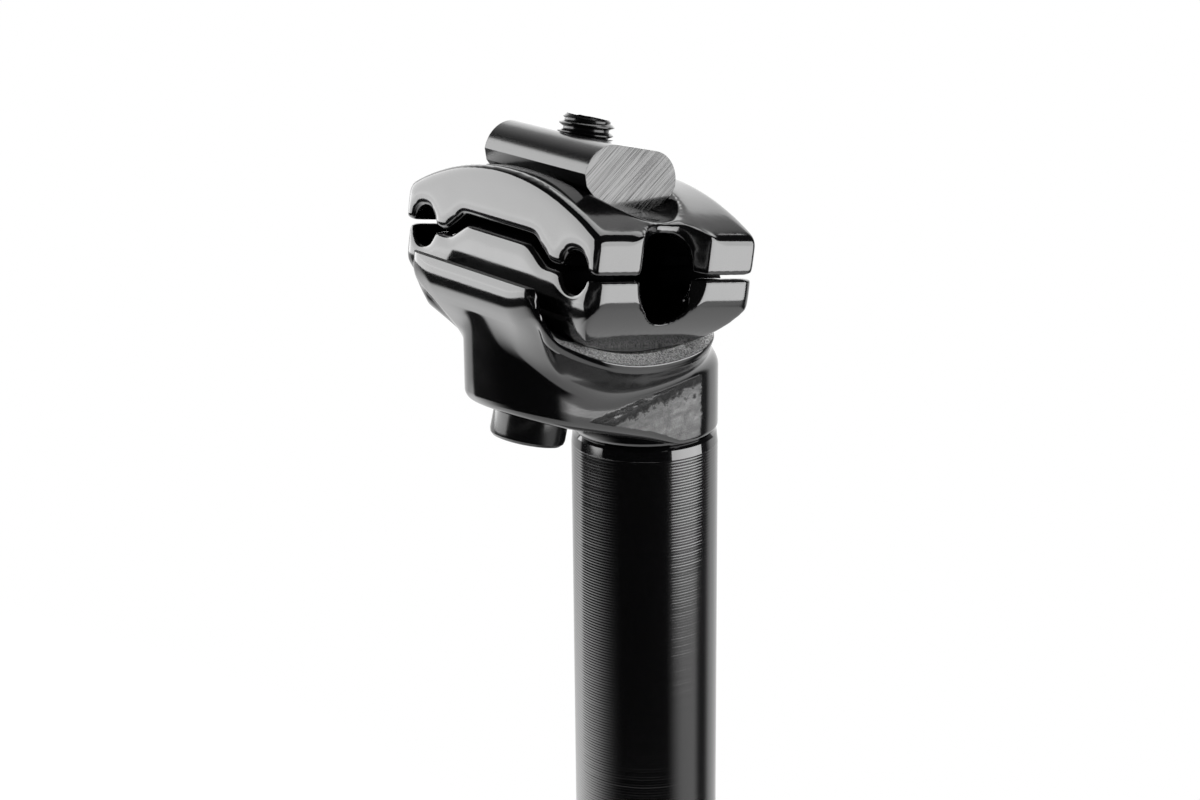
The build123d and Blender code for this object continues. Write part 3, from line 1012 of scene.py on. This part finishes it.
# Floor: a wide sheet of matt white paper. Round the foot it takes the post's shadow, and further
# out it is burnt out to plain white, in the picture and in the reflections. Reflections also see a
# painted pool of light on it, on the left in front, where the paper glows brighter though no lamp
# lights it.
floor_size = 12.0
paper_colour = "#F2F2F2"
paper_roughness = 0.9
shadow_to = 0.20
white_from = 0.42
pool_centre = (-0.45, -0.36, 0)
pool_inner = 0.15
pool_outer = 0.60
painted_pool_glow = 2.2
bpy.ops.object.select_all(action="DESELECT")
bpy.ops.mesh.primitive_plane_add(size=floor_size, location=(0, 0, 0))
floor = bpy.context.object
floor.name = "floor"
paper = bpy.data.materials.new("matt_white_paper")
paper.use_nodes = True
shader = paper.node_tree.nodes["Principled BSDF"]
shader.inputs["Base Color"].default_value = linear(paper_colour)
shader.inputs["Roughness"].default_value = paper_roughness
output = paper.node_tree.nodes["Material Output"]
ray = add(paper, "ShaderNodeLightPath", {}).outputs
seen = add(
    paper,
    "ShaderNodeMath",
    {0: ray["Is Camera Ray"], 1: ray["Is Transmission Ray"]},
    operation="MAXIMUM",
)
spot = add(paper, "ShaderNodeTexCoord", {}).outputs["Object"]
away = add(paper, "ShaderNodeVectorMath", {0: spot}, operation="LENGTH").outputs["Value"]
burnt = add(
    paper,
    "ShaderNodeMapRange",
    {"Value": away, "From Min": shadow_to, "From Max": white_from},
    interpolation_type="SMOOTHSTEP",
)
share = add(paper, "ShaderNodeMath", {0: seen.outputs[0], 1: burnt.outputs[0]}, operation="MULTIPLY")
share = add(paper, "ShaderNodeMath", {0: share.outputs[0], 1: ray["Is Glossy Ray"]}, operation="MAXIMUM")
# painted pool of light: the glow that reflections see rises towards the pool's centre
painted_pool = add(paper, "ShaderNodeVectorMath", {0: spot, 1: pool_centre}, operation="DISTANCE").outputs["Value"]
painted_pool = add(
    paper,
    "ShaderNodeMapRange",
    {"Value": painted_pool, "From Min": pool_inner, "From Max": pool_outer, "To Min": painted_pool_glow, "To Max": 1.0},
    interpolation_type="SMOOTHSTEP",
).outputs[0]
white = add(paper, "ShaderNodeEmission", {"Color": (1, 1, 1, 1), "Strength": painted_pool})
mix = add(paper, "ShaderNodeMixShader", {0: share.outputs[0], 1: shader.outputs[0], 2: white.outputs[0]})
paper.node_tree.links.new(mix.outputs[0], output.inputs["Surface"])
floor.data.materials.append(paper)

# Dark cards on the floor: a painted dark reflection, as only the reflections see them. They keep
# the front and one side of the post black, and each glows faintly at its own level. Each spans a
# sweep of compass turns from a start outwards, and its edges fade out, so that no reflection ends
# in a hard line.
card_reach = 5.0
for name, first, first_full, last_full, last, start, fade, height, painted_glow in (
    ("left_card", -160, -152, -78, -70, 0.58, 0.14, 0.001, 0.03),
    ("front_card", -152, -76, -5, 25, 0.28, 0.06, 0.002, 0.004),
    ("gap_card", 43, 58, 70, 88, 0.32, 0.06, 0.001, 0.05),
):
    bpy.ops.object.select_all(action="DESELECT")
    bpy.ops.mesh.primitive_circle_add(vertices=360, radius=start, location=(0, 0, height))
    card = bpy.context.object
    card.name = name
    bpy.ops.object.transform_apply(location=True)
    bpy.ops.object.mode_set(mode="EDIT")
    bpy.ops.mesh.select_all(action="SELECT")
    bpy.ops.mesh.extrude_edges_move()
    bpy.ops.transform.resize(
        value=(card_reach / start, card_reach / start, 1),
        center_override=(0, 0, height),
    )
    bpy.ops.mesh.select_mode(type="FACE")
    bpy.ops.mesh.select_all(action="DESELECT")
    bpy.ops.object.mode_set(mode="OBJECT")
    for face in card.data.polygons:
        turn = math.degrees(math.atan2(face.center.y, face.center.x))
        face.select = not first < turn < last
    bpy.ops.object.mode_set(mode="EDIT")
    bpy.ops.mesh.delete(type="FACE")
    bpy.ops.object.mode_set(mode="OBJECT")
    card_paint = bpy.data.materials.new(name + "_paint")
    card_paint.use_nodes = True
    shader = card_paint.node_tree.nodes["Principled BSDF"]
    shader.inputs["Base Color"].default_value = (0, 0, 0, 1)
    shader.inputs["Specular IOR Level"].default_value = 0.0
    # painted reflection: the card's faint glow sets how dark it looks in reflections
    shader.inputs["Emission Color"].default_value = (1, 1, 1, 1)
    shader.inputs["Emission Strength"].default_value = painted_glow
    spot = add(card_paint, "ShaderNodeTexCoord", {}).outputs["Object"]
    away = add(card_paint, "ShaderNodeVectorMath", {0: spot}, operation="LENGTH").outputs["Value"]
    level = add(card_paint, "ShaderNodeSeparateXYZ", {"Vector": spot}).outputs
    turn = add(card_paint, "ShaderNodeMath", {0: level["Y"], 1: level["X"]}, operation="ARCTAN2").outputs[0]
    cover = 1.0
    for value, clear, full in (
        (turn, math.radians(first), math.radians(first_full)),
        (turn, math.radians(last), math.radians(last_full)),
        (away, start, start + fade),
    ):
        rise = add(
            card_paint,
            "ShaderNodeMapRange",
            {"Value": value, "From Min": clear, "From Max": full},
            interpolation_type="SMOOTHSTEP",
        ).outputs[0]
        cover = add(card_paint, "ShaderNodeMath", {0: cover, 1: rise}, operation="MULTIPLY").outputs[0]
    nothing = add(card_paint, "ShaderNodeBsdfTransparent", {}).outputs[0]
    faded = add(card_paint, "ShaderNodeMixShader", {0: cover, 1: nothing, 2: shader.outputs[0]}).outputs[0]
    card_paint.node_tree.links.new(faded, card_paint.node_tree.nodes["Material Output"].inputs["Surface"])
    card.data.materials.append(card_paint)
    card.visible_camera = False
    card.visible_diffuse = False
    card.visible_shadow = False
    card.visible_transmission = False

# Light: two soft panels beside the post, a soft panel overhead and a pale wall behind, in a dark
# room that is paler behind. The camera doesn't see the panels, and it sees the room as white.


def panel(name, turn, tilt, centre_height, distance, width, height, radiance):
    """A soft panel that faces the post, from a compass turn and a tilt above the level."""
    level = Vector((math.cos(math.radians(turn)), math.sin(math.radians(turn)), 0))
    heading = level * math.cos(math.radians(tilt)) + Vector((0, 0, math.sin(math.radians(tilt))))
    lamp = bpy.data.lights.new(name, "AREA")
    lamp.shape = "RECTANGLE"
    lamp.size = width
    lamp.size_y = height
    lamp.energy = radiance * math.pi * width * height
    light = bpy.data.objects.new(name, lamp)
    bpy.context.scene.collection.objects.link(light)
    light.location = heading * distance + Vector((0, 0, centre_height))
    light.rotation_euler = heading.to_track_quat("Z", "Y").to_euler()
    light.visible_camera = False


panel("left_panel", -141, 0, 0.4675, 0.75, 1.00, 0.575, 4.4)
panel("right_panel", 31, 0, 0.3425, 0.75, 0.80, 0.515, 4.6)
panel("top_panel", 116, 57, 0.350, 0.90, 0.70, 0.55, 2.2)
panel("back_wall", 142, 0, 0.700, 1.40, 2.40, 1.00, 1.2)

room_back = (-0.80, 0.55, 0.24)
back_edge = 0.55
dark_level = 0.02
back_level = 0.75
room = bpy.data.worlds.new("dark_room")
bpy.context.scene.world = room
room.use_nodes = True
facing = add(room, "ShaderNodeTexCoord", {}).outputs["Generated"]
to_back = add(
    room,
    "ShaderNodeVectorMath",
    {0: facing, 1: room_back},
    operation="DOT_PRODUCT",
).outputs["Value"]
pale = add(
    room,
    "ShaderNodeMapRange",
    {"Value": to_back, "From Min": back_edge, "From Max": 1.0, "To Min": dark_level, "To Max": back_level},
    interpolation_type="SMOOTHSTEP",
).outputs[0]
ray = add(room, "ShaderNodeLightPath", {}).outputs
level = pale
for kind in ("Is Camera Ray", "Is Transmission Ray"):
    level = add(room, "ShaderNodeMath", {0: ray[kind], 1: level}, operation="MAXIMUM").outputs[0]
sky = room.node_tree.nodes["Background"]
sky.inputs["Color"].default_value = linear("#FFFFFF")
room.node_tree.links.new(level, sky.inputs["Strength"])

# Camera: a short telephoto, above and behind the clamp on its right, as the photograph was taken.
# Its place and its three axes were fitted to the photo.
lens = bpy.data.cameras.new("camera")
lens.lens = 71.0
lens.sensor_width = 36.0
lens.sensor_fit = "HORIZONTAL"
lens.clip_start = 0.01
camera = bpy.data.objects.new("camera", lens)
bpy.context.scene.collection.objects.link(camera)
right = Vector((0.61852, 0.78571, -0.00924))
up = Vector((-0.23332, 0.19488, 0.95267))
back = Vector((0.75033, -0.58709, 0.30386))
stand = Matrix((right, up, back)).transposed().to_4x4()
stand.translation = (0.32310, -0.26322, 0.45149)
camera.matrix_world = stand
bpy.context.scene.camera = camera
bpy.context.scene.view_settings.view_transform = "Standard"
